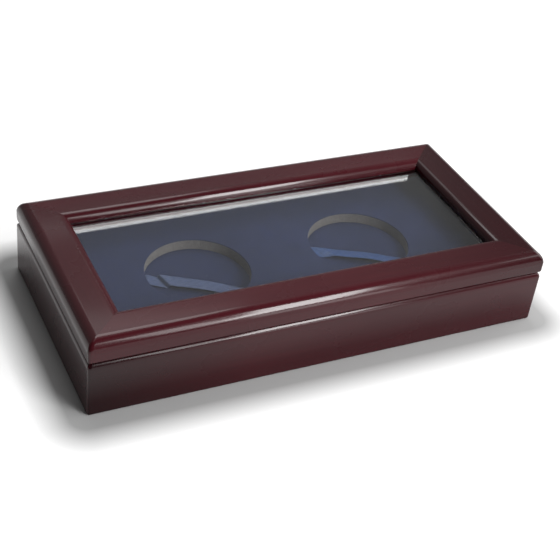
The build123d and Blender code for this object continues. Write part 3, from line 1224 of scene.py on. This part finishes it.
@dataclass
class GlazingBrads:
    """The square cut brads that pin the glazing beads to the rails."""

    face_x: float = 87.0 * MM
    face_y: float = 35.0 * MM
    height: float = 28.35 * MM
    long_places: tuple[float, ...] = (-67.125 * MM, -22.375 * MM, 22.375 * MM, 67.125 * MM)
    short_places: tuple[float, ...] = (-18.75 * MM, 18.75 * MM)
    shank_width: float = 0.8 * MM
    tip_width: float = 0.5 * MM
    length: float = 7.0 * MM
    head_width: float = 1.3 * MM
    head_top_width: float = 1.0 * MM
    head_height: float = 0.3 * MM

    def tree(self) -> Repeat:
        """The tree for one brad.

        Returns:
            The tree, with the head above z = 0 and the tapered shank below.
        """
        repeat = Repeat("cut_brads", titled(
            self, "shank_width", "tip_width", "length", "head_width", "head_top_width",
            "head_height"))
        g, given = repeat.g, repeat.given
        head = self._square(g, given["Head Width"], given["Head Top Width"], given["Head Height"])
        shank = self._square(g, given["Tip Width"], given["Shank Width"], given["Length"])
        repeat.end_with(head, repeat.shift(shank, given["Length"]))
        return repeat

    @staticmethod
    def _square(g: Graph, below: Socket, above: Socket, height: Socket) -> Socket:
        """A four-sided taper that stands on z = 0, its sides square to X and Y.

        Args:
            g: the tree to build in.
            below: its width at the bottom.
            above: its width at the top.
            height: its height.

        Returns:
            The taper's mesh.
        """
        low, high = (g.math("MULTIPLY", width, math.sqrt(0.5)) for width in (below, above))
        taper = g.add("GeometryNodeMeshCone", {
            "Vertices": 4, "Radius Top": high, "Radius Bottom": low, "Depth": height}).outputs[0]
        square = {"Geometry": taper, "Rotation": (0, 0, math.pi / 4)}
        return g.add("GeometryNodeTransform", square).outputs[0]

    def build(self, material: Material) -> list[Object]:
        """Builds the brads and drives them into their beads.

        Args:
            material: the finish.

        Returns:
            The one new object, in a list.
        """
        places = []
        for side in (-1, 1):
            x, y = side * self.face_x, side * self.face_y
            inward_x, inward_y = Vector((-side, 0.0, 0.0)), Vector((0.0, -side, 0.0))
            places += [(Vector((at, y, self.height)), inward_y) for at in self.long_places]
            places += [(Vector((x, at, self.height)), inward_x) for at in self.short_places]
        piece = self.tree().piece("bead_brads", places, material)
        return [settle(piece, "lid", "glazing_brads")]


# ---- wood, glass and fittings ----------------------------------------------------------------
@dataclass
class Casework:
    """The lacquered tray and lid, their glazing, panel, hinges and magnets, dressed as packed.

    Each lacquered node has a tone of its own, the tray front wall's lowered as painted shade, and
    two of them a range of x over which painted shade darkens the stain.
    """

    nodes: dict[str, Object]
    brass: Metal = Metal("brass", (0.72, 0.50, 0.22), (0.42, 0.28, 0.12))
    nickel: Metal = Metal("plated_magnet", (0.62, 0.61, 0.60), (0.40, 0.39, 0.38), 0.2)
    grain_shift: Colour = (0.31, 0.17, 0.05)
    # the tray front wall's low tone is painted shade that darkens that face
    tones: dict[str, float] = field(default_factory=lambda: {
        "lid_front_rail": 0.95, "lid_back_rail": 0.85, "lid_left_rail": 0.75,
        "lid_right_rail": 0.4, "tray_front_wall": 0.72, "tray_left_wall": 0.7,
        "tray_right_wall": 0.8, "tray_back_wall": 0.95})
    # painted shade: the stain darkens towards the left end of the tray front wall and the right end
    # of the lid front rail
    painted_shade_span: dict[str, Range] = field(default_factory=lambda: {
        "tray_front_wall": (-100 * MM, -35 * MM), "lid_front_rail": (130 * MM, 20 * MM)})

    def finish_of(self, node: str, count: int) -> Finish | None:
        """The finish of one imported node.

        Args:
            node: the node's name.
            count: how many were dressed before, which shifts the grain.

        Returns:
            A finish, or None where a new piece stands for the node.
        """
        grain = Grain.ALONG_Y if "left" in node or "right" in node else Grain.ALONG_X
        if node in self.tones:
            place = tuple(shift * count for shift in self.grain_shift)
            finish = CherryLacquer(f"lacquer_{node}", grain, place, self.tones[node])
            return replace(finish, painted_shade_span=self.painted_shade_span.get(node, finish.painted_shade_span))
        if node.startswith("glazing_bead"):
            return PlainWood(f"stain_{node}", grain)
        if node == "tray_bottom_panel":
            return PlainWood("panel_board", grain, light=(0.40, 0.28, 0.18),
                             dark=(0.30, 0.19, 0.11), roughness=0.62)
        if node == "glass_pane":
            return ClearGlass()
        if "magnets" in node:
            return self.nickel
        return self.brass if "hinge" in node and "screws" not in node else None

    def dress(self) -> int:
        """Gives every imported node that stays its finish.

        Returns:
            How many nodes were dressed.
        """
        shared: dict[str, Material] = {}
        count = 0
        for node, obj in sorted(self.nodes.items()):
            finish = self.finish_of(node, count)
            if finish is None:
                continue
            if finish.name not in shared:
                shared[finish.name] = finish.material()
            for slot in obj.material_slots:
                slot.material = shared[finish.name]
            count += 1
        return count


# ---- studio ----------------------------------------------------------------------------------
@dataclass
class Softbox:
    """One soft rectangular lamp that is aimed at a point and may lean about its own axis."""

    name: str
    place: tuple[float, float, float]
    width: float
    height: float
    radiance: float
    aim: tuple[float, float, float] = (0.0, 0.0, 0.02)
    lean: float = 0.0

    def build(self) -> Object:
        """Adds the lamp to the scene.

        Returns:
            The lamp's object.
        """
        lamp = bpy.data.lights.new(self.name, "AREA")
        lamp.shape = "RECTANGLE"
        lamp.size, lamp.size_y = self.width, self.height
        lamp.energy = self.radiance * math.pi * self.width * self.height
        obj = add_object(self.name, lamp)
        obj.location = self.place
        aimed = (Vector(self.aim) - Vector(self.place)).to_track_quat("-Z", "Y").to_matrix()
        obj.rotation_euler = (aimed @ Matrix.Rotation(self.lean, 3, "Z")).to_euler()
        return obj


@dataclass
class Studio:
    """A pale floor under a low white backdrop, a dim room, eight soft lamps and the camera.

    The room's brightness is taken from the direction in which it is seen. It rises towards the
    back, with a share of X counted in, and falls off overhead and at the right.
    """

    camera_place: tuple[float, float, float] = (-0.2094, -0.3745, 0.3210)
    camera_azimuth: float = 29.38
    camera_elevation: float = 36.18
    camera_roll: float = 7.68
    lens: float = 77.98
    sensor: float = 36.0
    clip: Range = (0.01, 20.0)
    floor_size: float = 24.0
    floor_colour: Colour = (0.40, 0.40, 0.40)
    floor_lift: float = 0.70
    footprint: Range = (102 * MM, 50 * MM)
    # painted shadow: the band round the footprint where the floor's own light is held back
    painted_shadow_reach: Range = (7 * MM, 21 * MM)
    far_reach: Range = (0.4, 2.5)
    room_sideways: float = 0.6
    room_depth: Range = (-0.1, 0.6)
    room_light: Range = (0.05, 0.36)
    overhead_reach: Range = (0.78, 0.92)
    overhead_light: float = 0.25
    right_reach: Range = (0.51, 0.58)
    right_light: float = 0.4
    backdrop_reach: Range = (0.03, 0.08)

    def boxes(self) -> list[Softbox]:
        """The lamps, with what each is for.

        Returns:
            Two broad lamps over the case and one at its right for the level of light, and five
            small ones for the highlights on the front corner, the mouldings and the pane.
        """
        return [
            Softbox("high_softbox", (0.098, 0.459, 0.883), 0.42, 0.42, 4.4),
            Softbox("overhead_softbox", (-0.087, 0.150, 0.985), 0.50, 0.50, 0.8),
            Softbox("corner_glow", (0.172, 0.656, 0.682), 0.30, 0.10, 1.5),
            Softbox("side_softbox", (0.863, -0.075, 0.500), 1.10, 0.60, 3.6),
            Softbox("leaning_softbox", (0.382, -0.655, 0.652), 0.14, 0.62, 25.0,
                    lean=math.radians(-24.5)),
            Softbox("front_softbox", (0.40, -0.90, 0.17), 0.18, 0.28, 5.0),
            Softbox("inner_softbox", (0.245, -0.80, 0.55), 0.13, 0.55, 7.0),
            Softbox("strip_lamp", (0.30, 0.90, 0.6616), 0.80, 0.009, 3.2, aim=(0.30, 0.0, 0.6616)),
        ]

    def build(self) -> None:
        """Adds floor, world, lamps and camera to the scene."""
        self._floor()
        self._world()
        for box in self.boxes():
            box.build()
        self._camera()

    def _shown_factor(self, g: Graph) -> Socket:
        """Picks out what the camera sees.

        Args:
            g: the graph to build in.

        Returns:
            1 for what is seen straight, mirrored or through glass.
        """
        rays = g.add("ShaderNodeLightPath").outputs
        seen = g.math("MAXIMUM", rays["Is Camera Ray"], rays["Is Glossy Ray"])
        return g.math("MAXIMUM", seen, rays["Is Transmission Ray"])

    def _floor(self) -> None:
        """A large pale floor that keeps the case's shadow.

        Its own light, which only the camera sees, is held back in a band round the footprint, which
        paints a tight shadow there, and makes the far floor white.
        """
        half = self.floor_size / 2
        verts = [(-half, -half, 0), (half, -half, 0), (half, half, 0), (-half, half, 0)]
        material, g = start_material("pale_floor")
        matt = g.add("ShaderNodeBsdfDiffuse", {"Color": rgba(self.floor_colour)})
        parts = g.split(g.add("ShaderNodeTexCoord").outputs["Object"])
        beyond = [g.math("MAXIMUM", g.math("SUBTRACT", g.math("ABSOLUTE", part), side), 0.0)
                  for part, side in zip(parts, self.footprint)]
        away = g.add("ShaderNodeVectorMath", {0: g.combine(*beyond)},
                     operation="LENGTH").outputs["Value"]
        # painted shadow: no floor light at the first reach, full light at the second, which darkens
        # a band round the case
        lift_round_painted_shadow = g.remap(away, *self.painted_shadow_reach, 0.0, self.floor_lift)
        far = g.remap(away, *self.far_reach, 0.0, 1.0 - self.floor_lift)
        strength = g.math("MULTIPLY", self._shown_factor(g), g.math("ADD", lift_round_painted_shadow, far))
        glow = g.add("ShaderNodeEmission", {"Strength": strength})
        both = g.add("ShaderNodeAddShader", {0: matt.outputs[0], 1: glow.outputs[0]})
        g.add("ShaderNodeOutputMaterial", {"Surface": both.outputs[0]})
        piece_of("floor", surface_of(verts, [(0, 1, 2, 3)]), material, smooth=False)

    def _world(self) -> None:
        """A dim room over a low white backdrop."""
        world = bpy.data.worlds.new("studio")
        world.use_nodes = True
        bpy.context.scene.world = world
        g = Graph(world.node_tree)
        background = next(n for n in world.node_tree.nodes if n.type == "BACKGROUND")
        x, y, z = g.split(g.add("ShaderNodeTexCoord").outputs["Generated"])
        behind = g.math("MULTIPLY_ADD", x, self.room_sideways, y)
        room = g.remap(behind, *self.room_depth, *self.room_light)
        room = g.math("MULTIPLY", room, g.remap(z, *self.overhead_reach, 1.0, self.overhead_light))
        room = g.math("MULTIPLY", room, g.remap(x, *self.right_reach, 1.0, self.right_light))
        low = g.math("MULTIPLY", self._shown_factor(g), g.remap(z, *self.backdrop_reach, 1.0, 0.0))
        strength = g.math("MAXIMUM", room, low)
        g.feed(background, {"Color": (1.0, 1.0, 1.0, 1.0), "Strength": strength})

    def _camera(self) -> None:
        """The camera at the photograph's angle."""
        data = bpy.data.cameras.new("camera")
        data.lens, data.sensor_width = self.lens, self.sensor
        data.clip_start, data.clip_end = self.clip
        camera = add_object("camera", data)
        azimuth, elevation = math.radians(self.camera_azimuth), math.radians(self.camera_elevation)
        flat = math.cos(elevation)
        forward = Vector((math.sin(azimuth) * flat, math.cos(azimuth) * flat, -math.sin(elevation)))
        level = forward.to_track_quat("-Z", "Y").to_matrix()
        turned = level @ Matrix.Rotation(math.radians(self.camera_roll), 3, "Z")
        camera.matrix_world = Matrix.Translation(self.camera_place) @ turned.to_4x4()
        bpy.context.scene.camera = camera


def main() -> None:
    """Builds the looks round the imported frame."""
    logging.basicConfig(level=logging.INFO, format="%(message)s")
    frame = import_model()
    bpy.context.scene.view_settings.view_transform = "Standard"
    casework = Casework(frame["nodes"])
    LOG.info("casework: %d nodes dressed", casework.dress())
    wire = Metal("steel_brad", (0.48, 0.48, 0.49), (0.30, 0.29, 0.28), 0.35)
    screw_brass = replace(casework.brass, name="screw_brass", roughness=0.24)
    made = Insert().build() + HingeScrews().build(screw_brass.material())
    made += GlazingBrads().build(wire.material())
    for piece in made:
        LOG.info("made: %s, %d faces", piece.name, len(piece.data.polygons))
    Studio().build()


if __name__ == "__main__":
    main()
